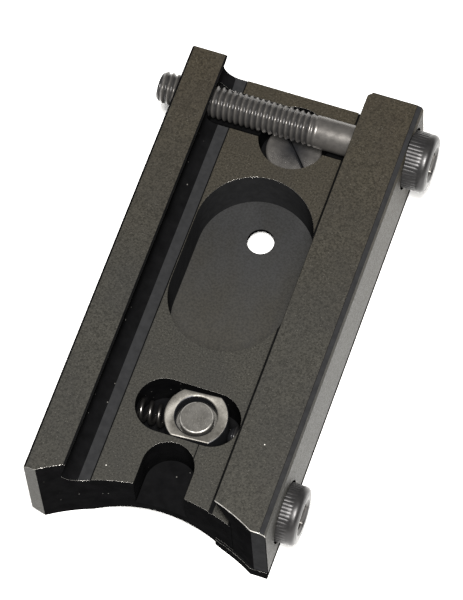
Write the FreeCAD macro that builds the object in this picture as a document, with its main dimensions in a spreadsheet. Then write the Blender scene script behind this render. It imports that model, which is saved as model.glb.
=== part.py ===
import FreeCAD, Part
import os
import Sketcher

# Rail clamp mounting block: a machined steel base with one fixed jaw, a sliding clamp jaw
# drawn up by two socket head screws, and a spring loaded stop block in a cross slot.
# Datum of the drawing: X from the outer face of the fixed jaw, Y from the near end,
# Z from the underside. The finished part is moved so that its origin is the bottom
# centre of the whole envelope.

DIMENSIONS = [
    # envelope of the base and its section
    ("block_len", "80.5"),
    ("base_wide", "33.65"),
    ("fixed_top", "19.5"),
    ("deck_z", "12.5"),
    ("top_edge_cut", "0.4"),
    ("foot_cut", "2.2"),
    ("lip_x", "6.25"),
    ("lip_edge_cut", "0.3"),
    ("inner_foot_x", "5.6"),
    ("inner_foot_z", "16"),
    ("hollow_x", "8.3"),
    ("hollow_z", "15.2"),
    ("hollow_rad", "2.9"),
    ("relief_x", "9.45"),
    ("relief_z", "12.3"),
    ("deck_edge_cut", "0.6"),
    ("groove_start_x", "29.35"),
    ("groove_end_x", "30.1"),
    ("groove_deep", "0.35"),
    # ledge under the clamp jaw
    ("ledge_start_x", "30.3"),
    ("ledge_end_x", "40.2"),
    ("ledge_top", "2.6"),
    ("ledge_near_y", "1.0"),
    # saddle along the underside
    ("centre_x", "20.4"),
    ("saddle_rad", "25"),
    ("saddle_rise", "2.6"),
    # concave front end
    ("scoop_x", "20.86"),
    ("scoop_y", "-28.77"),
    ("scoop_rad", "34.38"),
    ("ledge_scoop_rad", "34.0"),
    # oval pocket with its through bore
    ("pocket_x", "19.75"),
    ("pocket_near_y", "41.5"),
    ("pocket_far_y", "54.1"),
    ("pocket_rad", "10"),
    ("pocket_z", "3.4"),
    ("bore_x", "19.85"),
    ("bore_y", "56.7"),
    ("bore_rad", "2.3"),
    # far recess holding the slotted fixing screw
    ("recess_y", "72.6"),
    ("recess_rad", "5.9"),
    ("recess_z", "5.2"),
    ("fixing_hole_rad", "2.55"),
    # cross slot, its spring bore and its stop screw hole
    ("slot_y", "19.8"),
    ("slot_left_x", "16.35"),
    ("slot_right_x", "24.6"),
    ("slot_rad", "4.75"),
    ("slot_z", "4.4"),
    ("spring_z", "7.6"),
    ("spring_bore_x", "8.7"),
    ("spring_bore_rad", "2.45"),
    ("stop_z", "8.2"),
    ("stop_hole_rad", "2.05"),
    # notch open to the front
    ("notch_x", "20.6"),
    ("notch_y", "9.8"),
    ("notch_rad", "4.35"),
    ("notch_z", "4.6"),
    # clamp screws
    ("far_y", "74.5"),
    ("far_z", "13.5"),
    ("near_y", "9.9"),
    ("near_z", "8.4"),
    ("shank_rad", "2.8"),
    ("tapped_rad", "2.85"),
    ("far_groove_rad", "3.6"),
    ("near_hole_x", "26.6"),
    ("head_rad", "5"),
    ("head_high", "6"),
    ("socket_flats", "5"),
    ("socket_deep", "3"),
    ("far_seat_x", "38.3"),
    ("far_shank_len", "42.2"),
    ("near_seat_x", "37.55"),
    ("near_shank_len", "10"),
    # clamp jaw
    ("jaw_inner_x", "33.7"),
    ("jaw_outer_x", "40.4"),
    ("jaw_lip_x", "30.8"),
    ("jaw_top", "19.2"),
    ("jaw_bottom", "2.65"),
    ("jaw_lip_z", "18.9"),
    ("jaw_root_z", "13.85"),
    ("jaw_edge_cut", "1.0"),
    ("jaw_edge_soft", "0.3"),
    ("jaw_near_y", "1.1"),
    ("jaw_corner_cut", "0.8"),
    ("jaw_bore_rad", "2.88"),
    ("sink_rad", "5.35"),
    # stop block with its stud
    ("stop_block_x", "21.9"),
    ("stop_block_rad", "5.25"),
    ("stop_block_flats", "8.4"),
    ("stop_block_z", "4.5"),
    ("stop_block_high", "7.6"),
    ("stop_block_turn", "4"),
    ("stud_hole_rad", "3.45"),
    ("stud_foot_rad", "3.43"),
    ("stud_foot_high", "4.7"),
    ("stud_head_rad", "2.8"),
    ("stud_high", "7.1"),
    # spring and stop screw
    ("wire_rad", "0.36"),
    ("coil_rad", "1.65"),
    ("coil_pitch", "1.44"),
    ("coil_len", "7.1"),
    ("coil_start_x", "9.1"),
    ("grub_rad", "2"),
    ("grub_len", "4.8"),
    ("grub_tip_x", "27.22"),
    # slotted fixing screw
    ("cheese_rad", "4.75"),
    ("cheese_high", "3.2"),
    ("cheese_slot_wide", "0.8"),
    ("cheese_slot_deep", "1.4"),
    ("cheese_slot_turn", "-49"),
    ("fixing_shank_rad", "2.5"),
    ("fixing_shank_len", "4.7"),
    # origin of the finished part
    ("mid_x", "=(far_seat_x + head_high + far_seat_x - far_shank_len) / 2"),
    ("mid_y", "=(block_len + jaw_near_y) / 2"),
]

os.makedirs("parts", exist_ok=True)
doc = FreeCAD.newDocument("rail_clamp_block")
sheet = doc.addObject("Spreadsheet::Sheet", "Dims")
for row, (alias, text) in enumerate(DIMENSIONS, start=1):
    sheet.set("A%d" % row, alias)
    sheet.set("B%d" % row, text)
    sheet.setAlias("B%d" % row, alias)
doc.recompute()


def size(expression):
    """Present value of an expression of sheet names, in millimetres."""
    names = {alias: float(sheet.get(alias)) for alias, _ in DIMENSIONS}
    total = 0.0
    for term in expression.replace("-", "+-").split("+"):
        term = term.strip()
        if not term:
            continue
        sign = -1.0 if term.startswith("-") else 1.0
        term = term.lstrip("-").strip()
        total += sign * (names[term] if term in names else float(term))
    return total


def bound(expression):
    """The same expression with every sheet name written as a reference to the sheet."""
    out = expression.replace("-", " - ").replace("+", " + ")
    words = [("Dims." + w if w.replace("_", "a").isidentifier() else w) for w in out.split()]
    return " ".join(words)


def new_body(label):
    body = doc.addObject("PartDesign::Body", label)
    body.Label = label
    body.setExpression("Placement.Base.x", "-Dims.mid_x")
    body.setExpression("Placement.Base.y", "-Dims.mid_y")
    return body


def new_sketch(body, name, role, height=None):
    """Sketch on an origin plane of the body, raised along the plane's normal by a sheet size."""
    sketch = body.newObject("Sketcher::SketchObject", name)
    plane = [f for f in body.Origin.OriginFeatures if f.Role == role][0]
    sketch.AttachmentSupport = [(plane, "")]
    sketch.MapMode = "FlatFace"
    if height is not None:
        sketch.setExpression("AttachmentOffset.Base.z", bound(height))
    return sketch


def pin_point(sketch, geo, pos, across, upward):
    """Hold a sketch point at two sizes measured from the sketch origin."""
    for kind, axis, expression in (("DistanceX", -2, across), ("DistanceY", -1, upward)):
        value = size(expression)
        if abs(value) < 1e-9:
            sketch.addConstraint(Sketcher.Constraint("PointOnObject", geo, pos, axis))
            continue
        if value > 0:
            rule = Sketcher.Constraint(kind, -1, 1, geo, pos, value)
            text = bound(expression)
        else:
            rule = Sketcher.Constraint(kind, geo, pos, -1, 1, -value)
            text = "-(%s)" % bound(expression)
        index = sketch.addConstraint(rule)
        label = "%s_%d_%d" % (kind[-1].lower() + "_at", geo, pos)
        sketch.renameConstraint(index, label)
        sketch.setExpression("Constraints." + label, text)


def polygon(sketch, corners):
    """Closed polygon whose corners are pairs of sheet expressions."""
    spots = [FreeCAD.Vector(size(a), size(b), 0) for a, b in corners]
    first = sketch.GeometryCount
    for index, spot in enumerate(spots):
        following = spots[(index + 1) % len(spots)]
        sketch.addGeometry(Part.LineSegment(spot, following), False)
    for index in range(len(spots)):
        following = first + (index + 1) % len(spots)
        sketch.addConstraint(Sketcher.Constraint("Coincident", first + index, 2, following, 1))
    for index, (across, upward) in enumerate(corners):
        pin_point(sketch, first + index, 1, across, upward)


def circle(sketch, across, upward, radius):
    """Circle with its centre and radius held by the sheet."""
    centre = FreeCAD.Vector(size(across), size(upward), 0)
    geo = sketch.addGeometry(Part.Circle(centre, FreeCAD.Vector(0, 0, 1), size(radius)), False)
    pin_point(sketch, geo, 3, across, upward)
    index = sketch.addConstraint(Sketcher.Constraint("Radius", geo, size(radius)))
    sketch.renameConstraint(index, "radius_%d" % geo)
    sketch.setExpression("Constraints.radius_%d" % geo, bound(radius))


def obround(sketch, first, second, radius):
    """Slot outline between two arc centres that share an X or a Y; sizes held by the sheet."""
    a = FreeCAD.Vector(size(first[0]), size(first[1]), 0)
    b = FreeCAD.Vector(size(second[0]), size(second[1]), 0)
    r = size(radius)
    run = (b - a).normalize()
    side = FreeCAD.Vector(-run.y, run.x, 0)
    normal = FreeCAD.Vector(0, 0, 1)
    arc_a = Part.Arc(a + side * r, a - run * r, a - side * r)
    arc_b = Part.Arc(b - side * r, b + run * r, b + side * r)
    geo_a = sketch.addGeometry(arc_a, False)
    low = sketch.addGeometry(Part.LineSegment(a - side * r, b - side * r), False)
    geo_b = sketch.addGeometry(arc_b, False)
    high = sketch.addGeometry(Part.LineSegment(b + side * r, a + side * r), False)
    for one, two in ((geo_a, low), (low, geo_b), (geo_b, high), (high, geo_a)):
        ends = [(p, q) for p in (1, 2) for q in (1, 2)]
        gaps = [(sketch.getPoint(one, p).distanceToPoint(sketch.getPoint(two, q)), p, q) for p, q in ends]
        _, p, q = min(gaps)
        sketch.addConstraint(Sketcher.Constraint("Tangent", one, p, two, q))
    pin_point(sketch, geo_a, 3, *first)
    pin_point(sketch, geo_b, 3, *second)
    index = sketch.addConstraint(Sketcher.Constraint("Radius", geo_a, r))
    sketch.renameConstraint(index, "slot_radius")
    sketch.setExpression("Constraints.slot_radius", bound(radius))


def pad(body, name, sketch, length, reverse=False):
    feature = body.newObject("PartDesign::Pad", name)
    feature.Profile = sketch
    feature.setExpression("Length", bound(length))
    feature.Reversed = reverse
    doc.recompute()
    return feature


def pocket(body, name, sketch, length=None, reverse=False, both=False):
    """Pocket to a sheet depth, or through everything when no depth is given."""
    feature = body.newObject("PartDesign::Pocket", name)
    feature.Profile = sketch
    feature.Reversed = reverse
    if length is None:
        feature.Type = "ThroughAll"
    else:
        feature.setExpression("Length", bound(length))
    if both:
        feature.Midplane = True
    doc.recompute()
    return feature


def scoop_front(body, name, radius):
    """Concave front end: a large upright cylinder taken out of the near end."""
    sketch = new_sketch(body, name + "_outline", "XY_Plane")
    circle(sketch, "scoop_x", "scoop_y", radius)
    pocket(body, name, sketch, both=True)


def base_section(body):
    """Base with its fixed jaw: the side view profile run the length of the block. A narrow
    groove in the deck runs beside the lip of the clamp jaw."""
    sketch = new_sketch(body, "base_profile", "XZ_Plane")
    polygon(sketch, [
        ("foot_cut", "0"),
        ("base_wide", "0"),
        ("base_wide", "deck_z - deck_edge_cut"),
        ("base_wide - deck_edge_cut", "deck_z"),
        ("groove_end_x", "deck_z"),
        ("groove_end_x", "deck_z - groove_deep"),
        ("groove_start_x", "deck_z - groove_deep"),
        ("groove_start_x", "deck_z"),
        ("relief_x", "deck_z"),
        ("relief_x", "relief_z"),
        ("hollow_x", "relief_z"),
        ("inner_foot_x", "inner_foot_z"),
        ("lip_x", "fixed_top - lip_edge_cut"),
        ("lip_x - lip_edge_cut", "fixed_top"),
        ("top_edge_cut", "fixed_top"),
        ("0", "fixed_top - top_edge_cut"),
        ("0", "foot_cut"),
    ])
    pad(body, "base_bar", sketch, "block_len", reverse=True)
    sketch = new_sketch(body, "hollow_circle", "XZ_Plane")
    circle(sketch, "hollow_x", "hollow_z", "hollow_rad")
    pocket(body, "jaw_hollow", sketch, both=True)


def base_ledge(body):
    """Low ledge that carries the clamp jaw; its front stands a little proud of the scoop
    and stops just short of the near end."""
    sketch = new_sketch(body, "ledge_profile", "XZ_Plane")
    polygon(sketch, [
        ("ledge_start_x", "0"),
        ("ledge_end_x", "0"),
        ("ledge_end_x", "ledge_top"),
        ("ledge_start_x", "ledge_top"),
    ])
    pad(body, "jaw_ledge", sketch, "block_len", reverse=True)
    scoop_front(body, "ledge_scoop", "ledge_scoop_rad")
    sketch = new_sketch(body, "ledge_front_outline", "XY_Plane")
    polygon(sketch, [
        ("base_wide", "0"),
        ("ledge_end_x", "0"),
        ("ledge_end_x", "ledge_near_y"),
        ("base_wide", "ledge_near_y"),
    ])
    pocket(body, "ledge_front", sketch, both=True)


def base_openings(body):
    """Saddle, pocket, recess, cross slot and notch."""
    sketch = new_sketch(body, "saddle_circle", "XZ_Plane")
    circle(sketch, "centre_x", "saddle_rise - saddle_rad", "saddle_rad")
    pocket(body, "saddle", sketch, both=True)
    sketch = new_sketch(body, "oval_outline", "XY_Plane", "deck_z")
    obround(sketch, ("pocket_x", "pocket_near_y"), ("pocket_x", "pocket_far_y"), "pocket_rad")
    pocket(body, "oval_pocket", sketch, "deck_z - pocket_z")
    sketch = new_sketch(body, "bore_circle", "XY_Plane", "pocket_z")
    circle(sketch, "bore_x", "bore_y", "bore_rad")
    pocket(body, "pocket_bore", sketch)
    sketch = new_sketch(body, "recess_circle", "XY_Plane", "deck_z")
    circle(sketch, "centre_x", "recess_y", "recess_rad")
    pocket(body, "far_recess", sketch, "deck_z - recess_z")
    sketch = new_sketch(body, "fixing_circle", "XY_Plane", "recess_z")
    circle(sketch, "centre_x", "recess_y", "fixing_hole_rad")
    pocket(body, "fixing_hole", sketch)
    sketch = new_sketch(body, "cross_slot_outline", "XY_Plane", "deck_z")
    obround(sketch, ("slot_left_x", "slot_y"), ("slot_right_x", "slot_y"), "slot_rad")
    pocket(body, "cross_slot", sketch, "deck_z - slot_z")
    sketch = new_sketch(body, "notch_circle", "XY_Plane", "deck_z")
    circle(sketch, "notch_x", "notch_y", "notch_rad")
    pocket(body, "notch_end", sketch, "deck_z - notch_z")
    sketch = new_sketch(body, "notch_sides", "XY_Plane", "deck_z")
    polygon(sketch, [
        ("notch_x - notch_rad", "0"),
        ("notch_x + notch_rad", "0"),
        ("notch_x + notch_rad", "notch_y"),
        ("notch_x - notch_rad", "notch_y"),
    ])
    pocket(body, "notch_throat", sketch, "deck_z - notch_z")


def base_cross_holes(body):
    """Holes that run across the block: clamp screws, spring and stop screw."""
    sketch = new_sketch(body, "far_thread_circle", "YZ_Plane")
    circle(sketch, "far_y", "far_z", "tapped_rad")
    pocket(body, "far_thread", sketch, "relief_x", reverse=True)
    sketch = new_sketch(body, "far_groove_circle", "YZ_Plane", "inner_foot_x")
    circle(sketch, "far_y", "far_z", "far_groove_rad")
    pocket(body, "far_groove", sketch, "base_wide", reverse=True)
    sketch = new_sketch(body, "near_thread_circle", "YZ_Plane", "near_hole_x")
    circle(sketch, "near_y", "near_z", "tapped_rad")
    pocket(body, "near_thread", sketch, "base_wide", reverse=True)
    sketch = new_sketch(body, "spring_bore_circle", "YZ_Plane", "spring_bore_x")
    circle(sketch, "slot_y", "spring_z", "spring_bore_rad")
    pocket(body, "spring_bore", sketch, "slot_left_x - spring_bore_x", reverse=True)
    sketch = new_sketch(body, "stop_thread_circle", "YZ_Plane", "slot_right_x")
    circle(sketch, "slot_y", "stop_z", "stop_hole_rad")
    pocket(body, "stop_thread", sketch, "base_wide", reverse=True)


def make_base():
    body = new_body("base_block")
    base_section(body)
    scoop_front(body, "front_scoop", "scoop_rad")
    base_ledge(body)
    base_openings(body)
    base_cross_holes(body)
    return body


def make_jaw():
    """Clamp jaw: hooked bar with two counterbored screw holes."""
    body = new_body("clamp_jaw")
    body.setExpression("Placement.Base.y", "Dims.jaw_near_y - Dims.mid_y")
    sketch = new_sketch(body, "jaw_profile", "XZ_Plane")
    polygon(sketch, [
        ("jaw_inner_x", "jaw_bottom"),
        ("jaw_outer_x", "jaw_bottom"),
        ("jaw_outer_x", "jaw_top - jaw_edge_cut"),
        ("jaw_outer_x - jaw_edge_soft", "jaw_top - jaw_edge_soft"),
        ("jaw_outer_x - jaw_edge_cut", "jaw_top"),
        ("jaw_lip_x", "jaw_top"),
        ("jaw_lip_x", "jaw_lip_z"),
        ("jaw_inner_x", "jaw_root_z"),
    ])
    pad(body, "jaw_bar", sketch, "block_len", reverse=True)
    sketch = new_sketch(body, "jaw_scoop_outline", "XY_Plane")
    circle(sketch, "scoop_x", "scoop_y - jaw_near_y", "scoop_rad")
    pocket(body, "jaw_scoop", sketch, both=True)
    sketch = new_sketch(body, "jaw_corner_outline", "XY_Plane")
    polygon(sketch, [
        ("jaw_lip_x", "block_len - jaw_corner_cut"),
        ("jaw_lip_x + jaw_corner_cut", "block_len"),
        ("jaw_lip_x", "block_len"),
    ])
    pocket(body, "jaw_corner", sketch, both=True)
    for end, seat in (("far", "far_seat_x"), ("near", "near_seat_x")):
        across = end + "_y - jaw_near_y"
        sketch = new_sketch(body, end + "_bore_circle", "YZ_Plane", "jaw_lip_x - 1")
        circle(sketch, across, end + "_z", "jaw_bore_rad")
        pocket(body, end + "_bore", sketch, "jaw_outer_x", reverse=True)
        sketch = new_sketch(body, end + "_sink_circle", "YZ_Plane", seat)
        circle(sketch, across, end + "_z", "sink_rad")
        pocket(body, end + "_sink", sketch, "jaw_outer_x", reverse=True)
    return body


def cylinder(name, radius, height, base="0"):
    """Upright cylinder standing at a height given by the sheet."""
    item = doc.addObject("Part::Cylinder", name)
    item.setExpression("Radius", bound(radius))
    item.setExpression("Height", bound(height))
    item.setExpression("Placement.Base.z", bound(base) if base != "0" else "0")
    return item


def join(name, pieces):
    item = doc.addObject("Part::MultiFuse", name)
    item.Shapes = pieces
    return item


def cut(name, solid, tool):
    item = doc.addObject("Part::Cut", name)
    item.Base = solid
    item.Tool = tool
    return item


def place(item, label, across, along, upward, axis, turn):
    """Name a finished sub-part and stand it in the block's frame."""
    item.Label = label
    spin = FreeCAD.Rotation(axis, turn)
    item.Placement = FreeCAD.Placement(FreeCAD.Vector(0, 0, 0), spin)
    item.setExpression("Placement.Base.x", "%s - Dims.mid_x" % bound(across))
    item.setExpression("Placement.Base.y", "%s - Dims.mid_y" % bound(along))
    item.setExpression("Placement.Base.z", bound(upward))
    return item


def make_cap_screw(end):
    """Socket head cap screw, built head up on its seat and laid along X."""
    head = cylinder(end + "_head", "head_rad", "head_high")
    shank = doc.addObject("Part::Cylinder", end + "_shank")
    shank.setExpression("Radius", "Dims.shank_rad")
    shank.setExpression("Height", "Dims.%s_shank_len + 1" % end)
    shank.setExpression("Placement.Base.z", "-Dims.%s_shank_len" % end)
    blank = join(end + "_blank", [head, shank])
    socket = doc.addObject("Part::Prism", end + "_socket")
    socket.Polygon = 6
    socket.setExpression("Circumradius", "Dims.socket_flats / sqrt(3)")
    socket.setExpression("Height", "Dims.socket_deep + 1")
    socket.setExpression("Placement.Base.z", "Dims.head_high - Dims.socket_deep")
    screw = cut(end + "_clamp_screw", blank, socket)
    return place(screw, end + "_clamp_screw", end + "_seat_x", end + "_y", end + "_z",
                 FreeCAD.Vector(0, 1, 0), 90)


def make_stop_block():
    """Round steel block with two flats, free to slide in the cross slot."""
    disc = cylinder("stop_disc", "stop_block_rad", "stop_block_high")
    slab = doc.addObject("Part::Box", "stop_flats")
    slab.setExpression("Length", "Dims.stop_block_rad * 2")
    slab.setExpression("Width", "Dims.stop_block_flats")
    slab.setExpression("Height", "Dims.stop_block_high")
    slab.setExpression("Placement.Base.x", "-Dims.stop_block_rad")
    slab.setExpression("Placement.Base.y", "-Dims.stop_block_flats / 2")
    body = doc.addObject("Part::MultiCommon", "stop_blank")
    body.Shapes = [disc, slab]
    hole = cylinder("stop_hole", "stud_hole_rad", "stop_block_high")
    block = cut("stop_block", body, hole)
    return place(block, "stop_block", "stop_block_x", "slot_y", "stop_block_z",
                 FreeCAD.Vector(0, 0, 1), size("stop_block_turn"))


def make_stud():
    """Stepped stud pressed in the stop block, its narrower head set below the top."""
    foot = cylinder("stud_foot", "stud_foot_rad", "stud_foot_high")
    neck = cylinder("stud_neck", "stud_head_rad", "stud_high")
    stud = join("stop_stud", [foot, neck])
    return place(stud, "stop_stud", "stop_block_x", "slot_y", "stop_block_z",
                 FreeCAD.Vector(0, 0, 1), 0)


def make_stop_screw():
    """Grub screw whose tip holds the stop block against its spring."""
    blank = cylinder("grub_blank", "grub_rad", "grub_len")
    drive = doc.addObject("Part::Prism", "grub_drive")
    drive.Polygon = 6
    drive.setExpression("Circumradius", "Dims.grub_rad / sqrt(3)")
    drive.setExpression("Height", "Dims.grub_rad + 1")
    drive.setExpression("Placement.Base.z", "Dims.grub_len - Dims.grub_rad")
    screw = cut("stop_screw", blank, drive)
    return place(screw, "stop_screw", "grub_tip_x", "slot_y", "stop_z",
                 FreeCAD.Vector(0, 1, 0), 90)


def make_spring():
    """Open coil spring laid along X, one end in the blind bore, the other at the block."""
    path = doc.addObject("Part::Helix", "spring_path")
    path.setExpression("Pitch", "Dims.coil_pitch")
    path.setExpression("Height", "Dims.coil_len")
    path.setExpression("Radius", "Dims.coil_rad")
    wire = doc.addObject("Part::Circle", "spring_wire")
    wire.setExpression("Radius", "Dims.wire_rad")
    wire.Placement = FreeCAD.Placement(FreeCAD.Vector(0, 0, 0),
                                       FreeCAD.Rotation(FreeCAD.Vector(1, 0, 0), 90))
    wire.setExpression("Placement.Base.x", "Dims.coil_rad")
    sweep = doc.addObject("Part::Sweep", "return_spring")
    sweep.Sections = [wire]
    sweep.Spine = (path, [])
    sweep.Solid = True
    sweep.Frenet = True
    return place(sweep, "return_spring", "coil_start_x", "slot_y", "spring_z",
                 FreeCAD.Vector(0, 1, 0), 90)


def make_fixing_screw():
    """Slotted cheese head screw seated in the far recess."""
    head = cylinder("cheese_head", "cheese_rad", "cheese_high")
    shank = doc.addObject("Part::Cylinder", "fixing_shank")
    shank.setExpression("Radius", "Dims.fixing_shank_rad")
    shank.setExpression("Height", "Dims.fixing_shank_len + 1")
    shank.setExpression("Placement.Base.z", "-Dims.fixing_shank_len")
    blank = join("fixing_blank", [head, shank])
    blade = doc.addObject("Part::Box", "driver_slot")
    blade.setExpression("Length", "Dims.cheese_rad * 2 + 2")
    blade.setExpression("Width", "Dims.cheese_slot_wide")
    blade.setExpression("Height", "Dims.cheese_slot_deep + 1")
    blade.setExpression("Placement.Base.x", "-Dims.cheese_rad - 1")
    blade.setExpression("Placement.Base.y", "-Dims.cheese_slot_wide / 2")
    blade.setExpression("Placement.Base.z", "Dims.cheese_high - Dims.cheese_slot_deep")
    screw = cut("fixing_screw", blank, blade)
    return place(screw, "fixing_screw", "centre_x", "recess_y", "recess_z",
                 FreeCAD.Vector(0, 0, 1), size("cheese_slot_turn"))


subparts = [
    make_base(),
    make_jaw(),
    make_cap_screw("far"),
    make_cap_screw("near"),
    make_stop_block(),
    make_stud(),
    make_stop_screw(),
    make_spring(),
    make_fixing_screw(),
]
doc.recompute()

for item in doc.Objects:
    if "Invalid" in item.State or "Error" in item.State:
        raise RuntimeError("%s did not build: %s" % (item.Label, item.State))
for item in subparts:
    if item.Shape.isNull() or not item.Shape.isValid() or not item.Shape.Solids:
        raise RuntimeError("%s has no valid solid" % item.Label)
for item in subparts:
    box = item.Shape.BoundBox
    item.Shape.exportStep("parts/%s.step" % item.Label)
    print("%-18s solids %d volume %9.1f  X %.2f..%.2f  Y %.2f..%.2f  Z %.2f..%.2f" % (
        item.Label, len(item.Shape.Solids), item.Shape.Volume, box.XMin, box.XMax,
        box.YMin, box.YMax, box.ZMin, box.ZMax))
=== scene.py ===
import math

import bmesh
import bpy
from mathutils import Matrix, Vector


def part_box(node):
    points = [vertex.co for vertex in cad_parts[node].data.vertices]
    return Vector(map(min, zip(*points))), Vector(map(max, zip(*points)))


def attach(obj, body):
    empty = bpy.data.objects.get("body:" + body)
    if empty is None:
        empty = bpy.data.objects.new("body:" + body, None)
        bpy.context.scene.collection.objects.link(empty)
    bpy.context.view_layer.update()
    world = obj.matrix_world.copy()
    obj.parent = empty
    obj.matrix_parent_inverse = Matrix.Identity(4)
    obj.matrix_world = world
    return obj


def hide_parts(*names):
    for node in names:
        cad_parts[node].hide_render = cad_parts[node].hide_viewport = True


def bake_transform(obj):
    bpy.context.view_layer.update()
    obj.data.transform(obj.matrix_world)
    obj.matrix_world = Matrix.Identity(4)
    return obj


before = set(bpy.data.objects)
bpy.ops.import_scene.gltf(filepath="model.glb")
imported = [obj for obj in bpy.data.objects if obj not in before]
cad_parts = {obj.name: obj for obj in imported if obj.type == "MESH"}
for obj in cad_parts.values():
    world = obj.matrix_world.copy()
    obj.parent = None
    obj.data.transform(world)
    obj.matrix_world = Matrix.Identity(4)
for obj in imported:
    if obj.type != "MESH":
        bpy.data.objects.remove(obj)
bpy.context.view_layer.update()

BASE_LOW, BASE_HIGH = (Vector(corner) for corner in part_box("base_block"))
JAW_LOW, JAW_HIGH = (Vector(corner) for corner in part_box("clamp_jaw"))

# Sizes in metres, angles in radians unless a name says otherwise.
MM = 0.001
TURN = 2 * math.pi

# Where the photographer stood: round from the front, above the horizon, and tilted.
CAMERA_AZIMUTH_DEG = 23.88
CAMERA_ELEVATION_DEG = 64.72
CAMERA_ROLL_DEG = -5.01
CAMERA_DISTANCE = 0.600
CAMERA_LENS_MM = 219.2
CAMERA_AIM = Vector((0.00031, 0.0002, 0.0125))

# Finishes of the two machined blocks, in the order of their material slots; the black and blued slots
# also carry painted shade, the worn slot painted highlight. EDGE added to a finish makes it hold for
# the broken edge as well as for the plain face.
GROUND, WORN_AND_HIGHLIGHT, BLACK, BLUED_AND_SHADE, FLOOR, EDGE = range(6)

# Heights on the two machined blocks, and how close counts as the same height or plane.
POCKET_FLOOR = 3.4 * MM
RELIEF = 12.3 * MM
DECK = 12.5 * MM
JAW_TOP = 19.2 * MM
CLOSE = 0.1 * MM

# A face looks along an axis when its normal has SQUARE of it, and leans that way from LEAN on.
SQUARE = 0.97
LEAN = 0.12

# Width of the broken edges.
EDGE_WIDTH = 0.2 * MM

# Sizes of the two clamp screws.
SHANK = 2.8 * MM
HEAD_HEIGHT = 6 * MM
SOCKET_FLATS = 5 * MM
FAR_THREAD_LENGTH = 28.4 * MM
NEAR_THREAD_LENGTH = 8.0 * MM


# ---------------------------------------------------------------- meshes

def add_materials(mesh, materials):
    """Gives a mesh its material slots."""
    for material in materials:
        mesh.materials.append(material)


def to_mesh(bm, name):
    """Hands a bmesh over as a new mesh."""
    mesh = bpy.data.meshes.new(name)
    bm.to_mesh(mesh)
    bm.free()
    return mesh


def finish_mesh(name, mesh, materials, body, replaced, smooth_deg=32, stretch=None):
    """Turns a mesh into a piece that rides on a body and stands for CAD nodes. Given stretch, (second
    body, start, end), the piece is baked in place and rides on no body; what stretch holds is not used."""
    mesh.shade_smooth()
    mesh.set_sharp_from_angle(angle=math.radians(smooth_deg))
    if not mesh.materials:
        add_materials(mesh, materials)
    piece = bpy.data.objects.new(name, mesh)
    bpy.context.scene.collection.objects.link(piece)
    if stretch is None:
        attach(piece, body)
    else:
        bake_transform(piece)
    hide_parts(*replaced)
    return piece


def round_ring(radius):
    """The same radius at every angle."""
    return lambda angle: radius


def hexagon_ring(flats):
    """Radius of a hexagon of that width across flats, by angle."""
    def radius(angle):
        wedge = (angle + math.pi / 6) % (math.pi / 3) - math.pi / 6
        return flats / 2 / math.cos(wedge)
    return radius


def knurled_ring(radius, depth, teeth):
    """Radius of a straight knurl: rounded ridges with narrow valleys."""
    def ring(angle):
        ridge = abs(math.sin(teeth * angle / 2))
        return radius - depth * (1 - ridge) ** 1.6
    return ring


def flatted_ring(radius, half_flats, turn):
    """Radius of a disc with two flats, the whole turned by an angle."""
    def ring(angle):
        rise = abs(math.sin(angle - turn))
        return min(radius, half_flats / max(rise, 1e-6))
    return ring


def thread_stations(start, end, crest, depth, pitch, lead_in=None, fade=1.0, steps=12):
    """Stations of a helical thread between two heights, faded out over its last turns."""
    crest_share, flank_share = 0.10, 0.78
    stations = []
    count = round(abs(end - start) / pitch * steps)
    for index in range(count + 1):
        height = start + (end - start) * index / count
        left = abs(end - height) / pitch
        strength = min(1.0, left / fade)
        limit = lead_in(abs(height - start)) if lead_in else crest

        def ring(angle, height=height, strength=strength, limit=limit):
            phase = (height / pitch - angle / TURN) % 1.0
            slope = (abs(2 * phase - 1) - crest_share) / flank_share
            cut = depth * strength * min(1.0, max(0.0, slope))
            return min(limit, crest - cut)
        stations.append((height, ring))
    return stations


def arc_stations(height, radius, corner, steps=5):
    """Stations round an outer corner, from the side wall on to the face above it."""
    stations = []
    for index in range(steps + 1):
        angle = math.pi / 2 * index / steps
        rise = corner * math.sin(angle)
        fall = corner * (1 - math.cos(angle))
        stations.append((height - corner + rise, round_ring(radius - fall)))
    return stations


def skin(bm, rings, closed=False):
    """Faces from each ring of vertices to the next; an open row of rings is capped."""
    pairs = list(zip(rings, rings[1:]))
    if closed:
        pairs.append((rings[-1], rings[0]))
    for low, high in pairs:
        for index in range(len(low)):
            after = (index + 1) % len(low)
            bm.faces.new((low[index], low[after], high[after], high[index]))
    if not closed:
        bm.faces.new(rings[0])
        bm.faces.new(rings[-1])
    bmesh.ops.recalc_face_normals(bm, faces=bm.faces)


def ring_mesh(name, centre, axis, stations, count, closed=False):
    """Skin over rings stacked along X or Z. Each station is (height, radius by angle)."""
    bm = bmesh.new()
    rings = []
    for height, radius in stations:
        ring = []
        for index in range(count):
            angle = TURN * index / count
            a = radius(angle) * math.cos(angle)
            b = radius(angle) * math.sin(angle)
            offset = Vector((height, a, b)) if axis == "X" else Vector((a, b, height))
            ring.append(bm.verts.new(centre + offset))
        rings.append(ring)
    skin(bm, rings, closed)
    return to_mesh(bm, name)


def paint_wear(mesh, centre, axis, low, high, beyond=1.0):
    """Point attribute 'wear': 0 at radius low from the axis, 1 at radius high, then 'beyond'."""
    wear = mesh.attributes.new("wear", "FLOAT", "POINT")
    for index, vertex in enumerate(mesh.vertices):
        away = vertex.co - centre
        radius = away.yz.length if axis == "X" else away.xy.length
        amount = min(1.0, max(0.0, (radius - low) / (high - low)))
        wear.data[index].value = beyond if radius > high + CLOSE else amount


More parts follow.
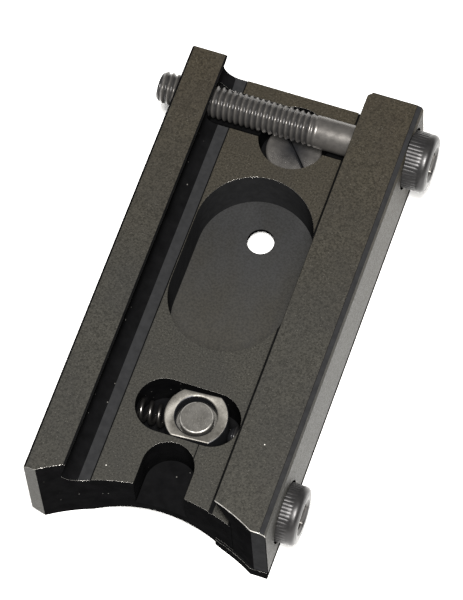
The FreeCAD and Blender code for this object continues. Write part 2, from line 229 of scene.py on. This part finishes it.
def break_edges(bm, width):
    """Rounds every hard edge a little, short edges only where they are sharp. The new faces take the
    slot of the worn edge steel, with its painted highlight, until their finishes are sorted."""
    hard = []
    for edge in bm.edges:
        if len(edge.link_faces) != 2:
            continue
        bend = math.degrees(edge.calc_face_angle(0))
        long_enough = edge.calc_length() > 0.25 * MM
        if bend > 60 or (bend >= 20 and long_enough):
            hard.append(edge)
    bmesh.ops.bevel(bm, geom=hard, offset=width, segments=3, profile=0.55,
                    affect="EDGES", clamp_overlap=True, material=WORN_AND_HIGHLIGHT)


def edge_finish(face):
    """Exposed edges that face the near end and the lights are bright: rubbed steel and painted
    highlight. Those that face away stay dark as painted shade, and so do the edges below the deck and
    the moving jaw's edge along the channel."""
    spot = face.calc_center_median()
    between_ledge_and_deck = 2.7 * MM < spot.z < 12.1 * MM
    # Edges between the ledge and the deck, in the notch and slot, are black as painted shade; steep and
    # nearly flat edge faces are black like the walls.
    if between_ledge_and_deck or not 0.15 < face.normal.z < 0.985:
        return BLACK
    # Painted highlight: edges facing the near end and the lights take the bright worn edge steel.
    if face.normal.y < -LEAN:
        return WORN_AND_HIGHLIGHT
    # Painted shade: edges facing away from the lights take the blued or black slot.
    if face.normal.y > LEAN:
        return BLUED_AND_SHADE if spot.z > DECK + 0.5 * MM else BLACK
    # Painted shade: the moving jaw's edge along the channel is black.
    along_channel = face.normal.x < -0.5 and spot.x > 0
    return BLACK if along_channel else GROUND


def sort_finishes(bm, finish_of):
    """Gives every face the slot of its finish. A plain face's finish is below EDGE; one at or
    above EDGE holds for the broken edge as well."""
    for face in bm.faces:
        finish = finish_of(face)
        if face.material_index == WORN_AND_HIGHLIGHT and finish < EDGE:
            finish = edge_finish(face)
        face.material_index = finish % EDGE


def bar_cutter(low, high, turn=0.0):
    """Plain bar between two corners, turned about its own middle, to cut with."""
    bm = bmesh.new()
    middle = (low + high) / 2
    reach = high - low
    place = Matrix.Translation(middle) @ Matrix.Rotation(turn, 4, "Z")
    bmesh.ops.create_cube(bm, size=1.0, matrix=place @ Matrix.Diagonal((*reach, 1)))
    return to_mesh(bm, "cutter")


def carve(mesh, cutters, materials, cut_slot=0):
    """Takes bars out of a mesh and returns what is left; cut faces take the given slot."""
    for blank in (mesh, *cutters):
        add_materials(blank, materials)
    for cutter in cutters:
        for face in cutter.polygons:
            face.material_index = cut_slot
    piece = bpy.data.objects.new("carved", mesh)
    bpy.context.scene.collection.objects.link(piece)
    tools = []
    for cutter in cutters:
        tool = bpy.data.objects.new("cutter", cutter)
        bpy.context.scene.collection.objects.link(tool)
        cut = piece.modifiers.new("cut", "BOOLEAN")
        cut.operation = "DIFFERENCE"
        cut.solver = "EXACT"
        cut.object = tool
        tools.append(tool)
    bpy.context.view_layer.update()
    seen = piece.evaluated_get(bpy.context.evaluated_depsgraph_get())
    carved = bpy.data.meshes.new_from_object(seen)
    for item in (piece, *tools):
        bpy.data.objects.remove(item)
    return carved


# ---------------------------------------------------------------- materials

class Shader:
    """Small helper round one Principled material. Textures are measured in millimetres."""

    def __init__(self, name):
        self.material = bpy.data.materials.new(name)
        self.material.use_nodes = True
        self.tree = self.material.node_tree
        self.surface = self.tree.nodes["Principled BSDF"]
        place = self.tree.nodes.new("ShaderNodeTexCoord")
        self.place = self.node("ShaderNodeMapping")
        self.place.inputs["Scale"].default_value = (1 / MM, 1 / MM, 1 / MM)
        self.link(place.outputs["Object"], self.place.inputs["Vector"])

    def node(self, kind, **settings):
        made = self.tree.nodes.new(kind)
        for key, value in settings.items():
            setattr(made, key, value)
        return made

    def link(self, source, target):
        self.tree.links.new(source, target)

    def noise(self, scale, detail=4, roughness=0.55, stretch=None):
        made = self.node("ShaderNodeTexNoise")
        made.inputs["Scale"].default_value = scale
        made.inputs["Detail"].default_value = detail
        made.inputs["Roughness"].default_value = roughness
        self.link(self.stretched(stretch), made.inputs["Vector"])
        return made.outputs["Fac"]

    def stretched(self, stretch):
        if stretch is None:
            return self.place.outputs["Vector"]
        made = self.node("ShaderNodeMapping")
        made.inputs["Scale"].default_value = stretch
        self.link(self.place.outputs["Vector"], made.inputs["Vector"])
        return made.outputs["Vector"]

    def along(self, axis):
        """Position in millimetres along X, Y or Z."""
        made = self.node("ShaderNodeSeparateXYZ")
        self.link(self.place.outputs["Vector"], made.inputs["Vector"])
        return made.outputs[axis]

    def cells(self, scale):
        """Voronoi cells: (distance to the cell's point, a random number per cell)."""
        made = self.node("ShaderNodeTexVoronoi")
        made.inputs["Scale"].default_value = scale
        self.link(self.place.outputs["Vector"], made.inputs["Vector"])
        split = self.node("ShaderNodeSeparateColor")
        self.link(made.outputs["Color"], split.inputs["Color"])
        return made.outputs["Distance"], split.outputs["Red"]

    def spread(self, source, low, high, to_low=0.0, to_high=1.0):
        """Maps a range on to another, clamped at both ends."""
        made = self.node("ShaderNodeMapRange")
        made.inputs["From Min"].default_value = low
        made.inputs["From Max"].default_value = high
        made.inputs["To Min"].default_value = to_low
        made.inputs["To Max"].default_value = to_high
        self.link(source, made.inputs["Value"])
        return made.outputs["Result"]

    def maths(self, operation, first, second):
        made = self.node("ShaderNodeMath", operation=operation)
        for socket, value in zip(made.inputs, (first, second)):
            if isinstance(value, (int, float)):
                socket.default_value = value
            else:
                self.link(value, socket)
        return made.outputs["Value"]

    def blend(self, factor, first, second, kind="MIX"):
        """Mixes two colours; either may be a socket or a plain (r, g, b)."""
        made = self.node("ShaderNodeMix", data_type="RGBA", blend_type=kind)
        sockets = [s for s in made.inputs if s.type == "RGBA"]
        for socket, value in zip(sockets, (first, second)):
            if isinstance(value, tuple):
                socket.default_value = (*value, 1.0)
            else:
                self.link(value, socket)
        if isinstance(factor, (int, float)):
            made.inputs["Factor"].default_value = factor
        else:
            self.link(factor, made.inputs["Factor"])
        return [s for s in made.outputs if s.type == "RGBA"][0]

    def bump(self, height, depth_mm, strength=1.0):
        made = self.node("ShaderNodeBump")
        made.inputs["Strength"].default_value = strength
        made.inputs["Distance"].default_value = depth_mm * MM
        self.link(height, made.inputs["Height"])
        self.link(made.outputs["Normal"], self.surface.inputs["Normal"])

    def attribute(self, name):
        made = self.node("ShaderNodeAttribute", attribute_name=name)
        return made.outputs["Fac"]


def dust(shader, colour):
    """A few pale specks of dust lying on a surface."""
    near, pick = shader.cells(0.33)
    speck = shader.spread(near, 0.045, 0.03)
    chosen = shader.spread(pick, 0.80, 0.82)
    amount = shader.maths("MULTIPLY", speck, chosen)
    return shader.blend(amount, colour, (0.62, 0.60, 0.56))


def phosphated_steel():
    """Ground faces of the block: dark grey phosphate with a fine crystalline grain, browner
    toward the far end."""
    shader = Shader("phosphated_steel")
    grain = shader.noise(3.2, 6, 0.75)
    patch = shader.noise(0.13, 4, 0.55)
    dark, pale = (0.0128, 0.0122, 0.0100), (0.0352, 0.0335, 0.0282)
    colour = shader.blend(shader.spread(grain, 0.40, 0.60), dark, pale)
    cooler = shader.blend(0.4, colour, (0.0175, 0.0172, 0.0165))
    colour = shader.blend(shader.spread(patch, 0.35, 0.65), colour, cooler)
    patina = shader.spread(shader.along("Y"), -5.0, 38.0)
    colour = shader.blend(patina, colour, (1.06, 0.93, 0.74), kind="MULTIPLY")
    near, pick = shader.cells(3.4)
    chosen = shader.spread(pick, 0.70, 0.95)
    crystal = shader.maths("MULTIPLY", shader.spread(near, 0.34, 0.10), chosen)
    colour = shader.blend(shader.maths("MULTIPLY", crystal, 0.22), colour, (0.20, 0.19, 0.17))
    colour = dust(shader, colour)
    shader.link(colour, shader.surface.inputs["Base Color"])
    shader.surface.inputs["Metallic"].default_value = 0.22
    shader.surface.inputs["Specular IOR Level"].default_value = 0.18
    shader.link(shader.spread(grain, 0.4, 0.6, 0.46, 0.66), shader.surface.inputs["Roughness"])
    shader.bump(grain, 0.05, 0.7)
    return shader.material


def milled_black_and_shade():
    """Cut-in faces that nothing has rubbed: deep, slightly oily black with faint tool marks. It also
    goes on walls, recesses and undersides, where its black is partly painted shade.
    """
    shader = Shader("milled_black_and_shade")
    film = shader.noise(0.45, 5, 0.6)
    marks = shader.noise(2.2, 4, 0.6, stretch=(1.0, 1.0, 7.0))
    dark, pale = (0.0028, 0.0028, 0.0030), (0.0046, 0.0046, 0.0049)
    colour = shader.blend(shader.spread(film, 0.35, 0.7), dark, pale)
    near, pick = shader.cells(1.1)
    chosen = shader.spread(pick, 0.90, 0.94)
    fleck = shader.maths("MULTIPLY", shader.spread(near, 0.16, 0.08), chosen)
    colour = shader.blend(shader.maths("MULTIPLY", fleck, 0.5), colour, (0.20, 0.195, 0.18))
    shader.link(colour, shader.surface.inputs["Base Color"])
    shader.surface.inputs["Metallic"].default_value = 0.0
    shader.surface.inputs["Specular IOR Level"].default_value = 0.0
    shader.link(shader.spread(film, 0.3, 0.7, 0.42, 0.60), shader.surface.inputs["Roughness"])
    shader.bump(marks, 0.02, 0.5)
    return shader.material


def blued_steel_and_shade():
    """Cooler, smoother and darker than the ground faces: oxide that still covers the steel, and painted
    shade where it goes on pocket walls and on edges facing away from the lights.
    """
    shader = Shader("blued_steel_and_shade")
    film = shader.noise(0.8, 5, 0.6)
    dark, pale = (0.0150, 0.0152, 0.0160), (0.0195, 0.0197, 0.0207)
    colour = shader.blend(shader.spread(film, 0.35, 0.65), dark, pale)
    shader.link(colour, shader.surface.inputs["Base Color"])
    shader.surface.inputs["Specular IOR Level"].default_value = 0.0
    shader.link(shader.spread(film, 0.3, 0.7, 0.36, 0.52), shader.surface.inputs["Roughness"])
    shader.bump(shader.noise(3.5, 5, 0.7), 0.02, 0.5)
    return shader.material


def pocket_floor_with_far_shade():
    """Milled floor of the oval pocket: warm near the front, cooler and darker at the far end as painted
    shade and painted reflection of the far wall.
    """
    shader = Shader("pocket_floor_with_far_shade")
    swirl = shader.noise(0.22, 3, 0.5, stretch=(1.0, 0.6, 1.0))
    grain = shader.noise(2.6, 6, 0.7)
    sway = shader.spread(swirl, 0.3, 0.7, -7.0, 7.0)
    along = shader.maths("ADD", shader.along("Y"), sway)
    warm, far_wall_shade = (0.0300, 0.0280, 0.0236), (0.0200, 0.0202, 0.0210)
    # Painted shade and painted reflection: cooler and darker toward the far wall.
    colour = shader.blend(shader.spread(along, -4.0, 19.0), warm, far_wall_shade)
    colour = shader.blend(shader.spread(grain, 0.42, 0.60, 0.0, 0.55), colour, (0.0085, 0.0083, 0.0078))
    shader.link(colour, shader.surface.inputs["Base Color"])
    shader.surface.inputs["Metallic"].default_value = 0.30
    shader.surface.inputs["Specular IOR Level"].default_value = 0.36
    shader.link(shader.spread(swirl, 0.3, 0.7, 0.40, 0.52), shader.surface.inputs["Roughness"])
    shader.bump(grain, 0.03, 0.5)
    return shader.material


def worn_edge_and_highlight():
    """Broken edges where the phosphate has thinned and bare steel shows in places. Put on the edges
    that face the lights, its brightness is also painted highlight.
    """
    shader = Shader("worn_edge_and_highlight")
    rub = shader.noise(0.45, 5, 0.68)
    bare = shader.spread(rub, 0.38, 0.58)
    colour = shader.blend(bare, (0.060, 0.058, 0.053), (0.46, 0.445, 0.42))
    shader.link(colour, shader.surface.inputs["Base Color"])
    shader.link(shader.spread(rub, 0.42, 0.62, 0.35, 0.9), shader.surface.inputs["Metallic"])
    shader.link(shader.spread(rub, 0.42, 0.62, 0.46, 0.30), shader.surface.inputs["Roughness"])
    shader.bump(shader.noise(5.0, 4, 0.6), 0.01)
    return shader.material


def black_oxide():
    """Oiled black oxide on screws; crests and ridges rubbed to a blue-grey sheen."""
    shader = Shader("black_oxide")
    wear = shader.attribute("wear")
    patch = shader.noise(0.9, 5, 0.6)
    amount = shader.maths("MULTIPLY", wear, shader.spread(patch, 0.25, 0.75, 0.7, 1.0))
    colour = shader.blend(amount, (0.0175, 0.018, 0.0205), (0.140, 0.132, 0.124))
    shader.link(colour, shader.surface.inputs["Base Color"])
    shader.surface.inputs["Metallic"].default_value = 0.65
    shader.surface.inputs["Specular IOR Level"].default_value = 0.25
    shader.link(shader.spread(patch, 0.3, 0.7, 0.28, 0.42), shader.surface.inputs["Roughness"])
    shader.bump(shader.noise(6.0, 4, 0.6), 0.008)
    return shader.material


def burnished_steel(name, turned_finish, dark, pale):
    """Worn steel of the stop block, brownish and faintly scratched; turned faces catch the
    light in opposite sectors."""
    shader = Shader(name)
    patch = shader.noise(0.5, 4, 0.6)
    fine = shader.noise(3.5, 6, 0.7, stretch=(1.0, 4.0, 1.0))
    colour = shader.blend(shader.spread(patch, 0.35, 0.65), dark, pale)
    colour = shader.blend(shader.spread(fine, 0.52, 0.75, 0.0, 0.6), colour, (0.045, 0.042, 0.038))
    hair = shader.noise(1.3, 3, 0.6, stretch=(9.0, 1.4, 1.0))
    colour = shader.blend(shader.spread(hair, 0.58, 0.66, 0.0, 0.55), colour, (0.215, 0.205, 0.185))
    shader.link(colour, shader.surface.inputs["Base Color"])
    shader.surface.inputs["Metallic"].default_value = 0.6
    shader.link(shader.spread(fine, 0.3, 0.7, 0.38, 0.52), shader.surface.inputs["Roughness"])
    turned = shader.node("ShaderNodeTangent", direction_type="RADIAL", axis="Z")
    shader.link(turned.outputs["Tangent"], shader.surface.inputs["Tangent"])
    shader.surface.inputs["Anisotropic"].default_value = turned_finish
    shader.bump(fine, 0.02, 0.6)
    return shader.material


def spring_wire():
    """Drawn spring wire with lengthwise streaks of darker oxide."""
    shader = Shader("spring_wire")
    streak = shader.noise(1.6, 5, 0.6)
    colour = shader.blend(shader.spread(streak, 0.35, 0.7), (0.13, 0.126, 0.122), (0.05, 0.047, 0.044))
    shader.link(colour, shader.surface.inputs["Base Color"])
    shader.surface.inputs["Metallic"].default_value = 0.95
    shader.link(shader.spread(streak, 0.3, 0.7, 0.22, 0.38), shader.surface.inputs["Roughness"])
    return shader.material


def pale_floor():
    """Matt white floor of the studio with the faintest clouding."""
    shader = Shader("pale_floor")
    cloud = shader.noise(0.004, 2, 0.5)
    colour = shader.blend(shader.spread(cloud, 0.3, 0.7), (0.93, 0.93, 0.93), (0.96, 0.96, 0.955))
    shader.link(colour, shader.surface.inputs["Base Color"])
    shader.surface.inputs["Roughness"].default_value = 0.8
    return shader.material


# ---------------------------------------------------------------- pieces

def centre_of(node):
    """Middle of a CAD node's box."""
    low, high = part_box(node)
    return (Vector(low) + Vector(high)) / 2


def at_height(face, height):
    """Whether the middle of a face lies at that height."""
    return abs(face.calc_center_median().z - height) < CLOSE


def at_an_end(face, low, high):
    """Whether a face looks along Y and lies in one of the two end planes of a box."""
    along = face.calc_center_median().y
    in_plane = along < low.y + CLOSE or along > high.y - CLOSE
    return abs(face.normal.y) > SQUARE and in_plane


def in_pocket(spot):
    """Whether a spot of the base, measured from its low corner, is on the pocket's walls."""
    across = 9.6 * MM < spot.x < 29.9 * MM
    lengthwise = 31 * MM < spot.y < 65 * MM
    return across and lengthwise and spot.z > POCKET_FLOOR - CLOSE


def base_finish(face):
    """Faces that look up and the outer side are ground, pocket walls blued, the rest black; the blued
    walls and the black walls and floors below the deck are partly painted shade.
    """
    spot = face.calc_center_median() - BASE_LOW
    if face.normal.z > SQUARE:
        if at_height(face, POCKET_FLOOR):
            return FLOOR
        if at_height(face, RELIEF):
            return BLUED_AND_SHADE
        # Upward faces below the deck, such as the notch and slot floors, are black: partly a cut
        # finish, partly painted shade.
        return GROUND if spot.z > DECK - CLOSE else BLACK
    if face.normal.x < -SQUARE and spot.x < CLOSE:
        return GROUND
    # Pocket walls take the darker blued slot, partly painted shade.
    if in_pocket(spot):
        return BLUED_AND_SHADE
    # The remaining walls, scoop, hollow and undersides are black: partly a cut finish, partly painted
    # shade.
    return GROUND if at_an_end(face, BASE_LOW, BASE_HIGH) else BLACK


def jaw_finish(face):
    """Top, outer side and far end are ground, the near end and the top of the long outer rounding are
    blued, the rest is black; the black of the undercut and the scoop is partly painted shade."""
    spot = face.calc_center_median()
    if at_an_end(face, JAW_LOW, JAW_HIGH):
        return BLUED_AND_SHADE if spot.y < 0 else GROUND
    outward = face.normal.x > LEAN and abs(face.normal.y) < 0.2
    if outward and spot.x > JAW_HIGH.x - 1.4 * MM:
        return EDGE + (BLUED_AND_SHADE if face.normal.z > 0.7 else GROUND)
    # Faces under the lip and on the scoop are black: partly a cut finish, partly painted shade.
    return GROUND if face.normal.z > SQUARE and at_height(face, JAW_TOP) else BLACK


def scribed_lines():
    """Fine grooves along the deck: beside the fixed jaw, and between notch and cross slot."""
    bars = []
    for across_mm, wide_mm, deep_mm, reach_mm in ((9.55, 0.2, 0.30, 100), (24.05, 0.18, 0.2, 16)):
        middle = BASE_LOW.x + across_mm * MM
        half = wide_mm / 2 * MM
        near = Vector((middle - half, BASE_LOW.y - MM, DECK - deep_mm * MM))
        far = Vector((middle + half, BASE_LOW.y + reach_mm * MM, DECK + 1.5 * MM))
        bars.append(bar_cutter(near, far))
    return bars


def make_machined_block(node, body, finish_of, materials, cutters):
    """CAD shape with its edges broken, its finishes sorted and its fine grooves cut."""
    bm = bmesh.new()
    bm.from_mesh(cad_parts[node].data)
    bmesh.ops.remove_doubles(bm, verts=bm.verts, dist=1e-6)
    bmesh.ops.dissolve_limit(bm, angle_limit=math.radians(0.4), verts=bm.verts, edges=bm.edges)
    break_edges(bm, EDGE_WIDTH)
    bm.normal_update()
    sort_finishes(bm, finish_of)
    mesh = to_mesh(bm, node + "_finished")
    if cutters:
        # The groove walls take the black slot, painted shade inside the fine grooves.
        mesh = carve(mesh, cutters, materials, BLACK)
    piece = finish_mesh(node + "_finished", mesh, materials, body, [node])
    even = piece.modifiers.new("even_shading", "WEIGHTED_NORMAL")
    even.keep_sharp = True


def cap_head_stations(seat, top, head):
    """Underside, knurled side and rounded rim of a socket head."""
    stations = [
        (seat, round_ring(SHANK + 0.05 * MM)),
        (seat, round_ring(head - 0.45 * MM)),
        (seat + 0.3 * MM, round_ring(head - 0.08 * MM)),
    ]
    knurl = knurled_ring(head, 0.07 * MM, 44)
    knurl_steps = 6
    for index in range(knurl_steps + 1):
        stations.append((seat + (0.45 + 3.85 * index / knurl_steps) * MM, knurl))
    stations.append((seat + 4.5 * MM, round_ring(head - 0.04 * MM)))
    stations.append((seat + 4.7 * MM, round_ring(head)))
    return stations + arc_stations(top - 0.05 * MM, head, 0.85 * MM, 7)


def cap_socket_stations(top, head):
    """Face of a socket head and the hexagon socket sunk in it, down to its drill point."""
    return [
        (top - 0.03 * MM, round_ring(head - 0.9 * MM)),
        (top, round_ring(head - 0.95 * MM)),
        (top, round_ring(3.15 * MM)),
        (top - 0.10 * MM, round_ring(3.0 * MM)),
        (top - 0.42 * MM, hexagon_ring(SOCKET_FLATS + 0.02 * MM)),
        (top - 1.6 * MM, hexagon_ring(SOCKET_FLATS)),
        (top - 2.95 * MM, hexagon_ring(SOCKET_FLATS)),
        (top - 3.0 * MM, hexagon_ring(SOCKET_FLATS - 0.3 * MM)),
        (top - 3.0 * MM, round_ring(1.6 * MM)),
        (top - 3.5 * MM, round_ring(0.1 * MM)),
    ]


def make_cap_screw(node, body, thread_length, material):
    """Socket head cap screw lying along X, its head to the right."""
    low, high = (Vector(corner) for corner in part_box(node))
    centre = centre_of(node)
    centre.x = 0
    tip, top = low.x, high.x
    seat, head = top - HEAD_HEIGHT, (high.y - low.y) / 2
    stations = thread_stations(tip, tip + thread_length, SHANK - 0.05 * MM, 0.34 * MM, 1.0 * MM,
                               lead_in=lambda run: 2.2 * MM + run * 0.7, fade=2.0)
    stations.append((seat - 0.35 * MM, round_ring(SHANK)))
    stations.append((seat - 0.1 * MM, round_ring(SHANK + 0.02 * MM)))
    stations += cap_head_stations(seat, top, head)
    stations += cap_socket_stations(top, head)
    mesh = ring_mesh(node + "_detailed", centre, "X", stations, 264)
    paint_wear(mesh, centre, "X", 2.3 * MM, SHANK, beyond=0.2)
    finish_mesh(node + "_detailed", mesh, [material], body, [node])


def make_stop_screw(material):
    """M4 grub screw with a rounded tip and a hexagon socket in its far end."""
    low, high = (Vector(corner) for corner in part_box("stop_screw"))
    centre = centre_of("stop_screw")
    centre.x = 0
    stations = [(low.x, round_ring(0.5 * MM)), (low.x + 0.12 * MM, round_ring(0.95 * MM))]
    stations += thread_stations(low.x + 0.35 * MM, high.x - 0.2 * MM, 1.99 * MM, 0.43 * MM,
                                0.7 * MM, lead_in=lambda run: 1.3 * MM + run * 0.8, fade=0.4)
    stations += [
        (high.x, round_ring(1.7 * MM)),
        (high.x, round_ring(1.25 * MM)),
        (high.x - 0.15 * MM, hexagon_ring(2 * MM)),
        (high.x - 1.8 * MM, hexagon_ring(2 * MM)),
        (high.x - 2.1 * MM, round_ring(0.1 * MM)),
    ]
    mesh = ring_mesh("stop_screw_detailed", centre, "X", stations, 96)
    paint_wear(mesh, centre, "X", 1.5 * MM, 3.5 * MM)
    finish_mesh("stop_screw_detailed", mesh, [material], "stop_adjuster",
                ["stop_screw"])


def make_stop_block(material, side):
    """Disc with two flats and a bored middle, slightly turned in its slot; dark sides."""
    low, high = (Vector(corner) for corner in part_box("stop_block"))
    centre = centre_of("stop_block")
    centre.z = 0
    radius, half_flats, turn = 5.25 * MM, 4.2 * MM, math.radians(4)

    def outline(inset):
        return flatted_ring(radius - inset, half_flats - inset, turn)
    hole = 3.45 * MM
    stations = [
        (low.z, outline(0.3 * MM)),
        (low.z + 0.3 * MM, outline(0)),
        (high.z - 0.16 * MM, outline(0)),
        (high.z - 0.05 * MM, outline(0.04 * MM)),
        (high.z, outline(0.15 * MM)),
        (high.z, outline(0.22 * MM)),
        (high.z, round_ring(hole + 0.22 * MM)),
        (high.z - 0.07 * MM, round_ring(hole + 0.08 * MM)),
        (high.z - 0.22 * MM, round_ring(hole)),
        (low.z + 4.7 * MM, round_ring(hole)),
        (low.z, round_ring(hole)),
    ]
    mesh = ring_mesh("stop_block_detailed", centre, "Z", stations, 240, closed=True)
    for face in mesh.polygons:
        turned_away = face.normal.z < SQUARE and max(face.normal.x, face.normal.y) > 0.2
        face.material_index = 1 if turned_away or abs(face.normal.z) < 0.3 else 0
    finish_mesh("stop_block_detailed", mesh, [material, side], "stop",
                ["stop_block"])


def make_stop_stud(material, rim):
    """Stepped stud: foot pressed in the block, narrower head with a bright rounded rim."""
    low, high = (Vector(corner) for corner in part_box("stop_stud"))
    centre = centre_of("stop_stud")
    centre.z = 0
    foot, head = 3.43 * MM, 2.8 * MM
    shoulder = low.z + 4.7 * MM
    stations = [
        (low.z, round_ring(foot - 0.3 * MM)),
        (low.z + 0.3 * MM, round_ring(foot)),
        (shoulder, round_ring(foot)),
        (shoulder, round_ring(head + 0.1 * MM)),
        (shoulder + 0.1 * MM, round_ring(head)),
    ]
    stations += arc_stations(high.z - 0.04 * MM, head, 0.22 * MM, 4)
    stations += [
        (high.z - 0.04 * MM, round_ring(head - 0.28 * MM)),
        (high.z - 0.03 * MM, round_ring(1.6 * MM)),
        (high.z, round_ring(0.05 * MM)),
    ]
    mesh = ring_mesh("stop_stud_detailed", centre, "Z", stations, 96)
    for face in mesh.polygons:
        face.material_index = 1 if 0.1 < face.normal.z < 0.99 else 0
    finish_mesh("stop_stud_detailed", mesh, [material, rim], "stop",
                ["stop_stud"])


def spring_run(start, end, turns, closed_turns, closed_pitch):
    """Where a spring has got to along its axis after so many turns, its end turns closer."""
    open_turns = turns - 2 * closed_turns
    open_pitch = (end - start - 2 * closed_turns * closed_pitch) / open_turns

    def along(turn):
        first = min(turn, closed_turns)
        last = max(0.0, turn - (turns - closed_turns))
        middle = turn - first - last
        return start + (first + last) * closed_pitch + middle * open_pitch
    return along


def make_spring(material):
    """Compression spring lying along X, its end turns drawn a little closer."""
    wire, mean = 0.36 * MM, 1.65 * MM
    axis_y, axis_z = BASE_LOW.y + 19.8 * MM, BASE_LOW.z + 7.6 * MM
    start = BASE_LOW.x + 9.1 * MM
    end = start + 7.1 * MM
    turns, round_steps, wire_sides = 4.95, 40, 14
    along = spring_run(start, end, turns, closed_turns=0.4, closed_pitch=2 * wire * 1.3)
    bm = bmesh.new()
    rings = []
    total = round(turns * round_steps)
    for index in range(total + 1):
        turn = turns * index / total
        angle = TURN * turn
        radial = Vector((0, math.cos(angle), math.sin(angle)))
        spot = Vector((along(turn), axis_y, axis_z)) + radial * mean
        ring = []
        for step in range(wire_sides):
            spin = TURN * step / wire_sides
            offset = radial * math.cos(spin) + Vector((math.sin(spin), 0, 0))
            ring.append(bm.verts.new(spot + offset * wire))
        rings.append(ring)
    skin(bm, rings)
    mesh = to_mesh(bm, "return_spring_detailed")
    stretch = ("stop", (start, axis_y, axis_z), (end, axis_y, axis_z))
    finish_mesh("return_spring_detailed", mesh, [material], "base",
                ["return_spring"], 50, stretch)


def make_fixing_screw(material):
    """M5 cheese head screw with a driver slot, standing in the far recess."""
    low, high = (Vector(corner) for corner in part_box("fixing_screw"))
    centre = centre_of("fixing_screw")
    centre.z = 0
    head, seat = (high.x - low.x) / 2, high.z - 3.2 * MM
    stations = thread_stations(low.z, seat - 0.6 * MM, 2.49 * MM, 0.49 * MM, 0.8 * MM,
                               lead_in=lambda run: 1.9 * MM + run * 0.8, fade=0.8)
    stations += [
        (seat - 0.05 * MM, round_ring(2.5 * MM)),
        (seat, round_ring(2.7 * MM)),
        (seat, round_ring(head - 0.2 * MM)),
        (seat + 0.2 * MM, round_ring(head)),
    ]
    stations += arc_stations(high.z, head, 0.4 * MM, 5)
    stations.append((high.z, round_ring(0.5 * MM)))
    mesh = ring_mesh("fixing_screw_detailed", centre, "Z", stations, 144)
    paint_wear(mesh, centre, "Z", 2.0 * MM, 4.8 * MM)
    top = Vector((centre.x, centre.y, high.z))
    half = Vector((6 * MM, 0.22 * MM, 1.4 * MM))
    driver_slot = bar_cutter(top - half, top + half, math.radians(-49))
    mesh = carve(mesh, [driver_slot], [material])
    finish_mesh("fixing_screw_detailed", mesh, [material], "base",
                ["fixing_screw"])


# ---------------------------------------------------------------- stage

def make_floor():
    """Large level floor under the block."""
    mesh = bpy.data.meshes.new("floor")
    half = 2.0
    corners = [(-half, -half, 0), (half, -half, 0), (half, half, 0), (-half, half, 0)]
    mesh.from_pydata(corners, [], [(0, 1, 2, 3)])
    mesh.materials.append(pale_floor())
    floor = bpy.data.objects.new("floor", mesh)
    bpy.context.scene.collection.objects.link(floor)


def make_light(name, place, size, power):
    """Round, slightly warm soft light aimed at the block."""
    data = bpy.data.lights.new(name, "AREA")
    data.shape = "DISK"
    data.size = size
    data.energy = power
    data.color = (1.0, 0.985, 0.955)
    light = bpy.data.objects.new(name, data)
    light.location = place
    light.rotation_euler = (Vector((0, 0, 0.01)) - place).to_track_quat("-Z", "Y").to_euler()
    bpy.context.scene.collection.objects.link(light)


def make_studio():
    """Floor, two soft lights on the camera's side, and a dim white surround."""
    make_floor()
    make_light("key_overhead", Vector((0.075, -0.15, 0.60)), size=0.12, power=6.6)
    make_light("fill_by_camera", Vector((0.14, -0.32, 0.72)), size=0.20, power=7.5)
    world = bpy.data.worlds.new("studio")
    bpy.context.scene.world = world
    world.use_nodes = True
    surround = world.node_tree.nodes["Background"]
    surround.inputs["Color"].default_value = (1, 1, 1, 1)
    surround.inputs["Strength"].default_value = 0.10
    bpy.context.scene.view_settings.view_transform = "Standard"


def make_camera():
    """Long lens from the side and height that the photo was taken from."""
    data = bpy.data.cameras.new("camera")
    data.sensor_width = 36
    data.lens = CAMERA_LENS_MM
    data.clip_start = 0.01
    camera = bpy.data.objects.new("camera", data)
    azimuth = math.radians(CAMERA_AZIMUTH_DEG)
    elevation = math.radians(CAMERA_ELEVATION_DEG)
    away = Vector((
        math.sin(azimuth) * math.cos(elevation),
        -math.cos(azimuth) * math.cos(elevation),
        math.sin(elevation),
    ))
    look = (-away).to_track_quat("-Z", "Y").to_matrix().to_4x4()
    roll = Matrix.Rotation(math.radians(CAMERA_ROLL_DEG), 4, "Z")
    camera.matrix_world = Matrix.Translation(CAMERA_AIM + away * CAMERA_DISTANCE) @ look @ roll
    bpy.context.scene.collection.objects.link(camera)
    bpy.context.scene.camera = camera


finishes = [phosphated_steel(), worn_edge_and_highlight(), milled_black_and_shade(), blued_steel_and_shade(), pocket_floor_with_far_shade()]
make_machined_block("base_block", "base", base_finish, finishes, scribed_lines())
make_machined_block("clamp_jaw", "jaw", jaw_finish, finishes, [])
oxide = black_oxide()
make_cap_screw("far_clamp_screw", "far_screw", FAR_THREAD_LENGTH, oxide)
make_cap_screw("near_clamp_screw", "near_screw", NEAR_THREAD_LENGTH, oxide)
make_stop_screw(oxide)
make_fixing_screw(oxide)
block_dark, block_pale = (0.082, 0.077, 0.068), (0.168, 0.160, 0.145)
block_steel = burnished_steel("burnished_block", 0.55, block_dark, block_pale)
make_stop_block(block_steel, oxide)
stud_dark, stud_pale = (0.062, 0.059, 0.054), (0.102, 0.098, 0.091)
stud_steel = burnished_steel("burnished_stud", 0.0, stud_dark, stud_pale)
make_stop_stud(stud_steel, finishes[WORN_AND_HIGHLIGHT])
make_spring(spring_wire())
make_studio()
make_camera()
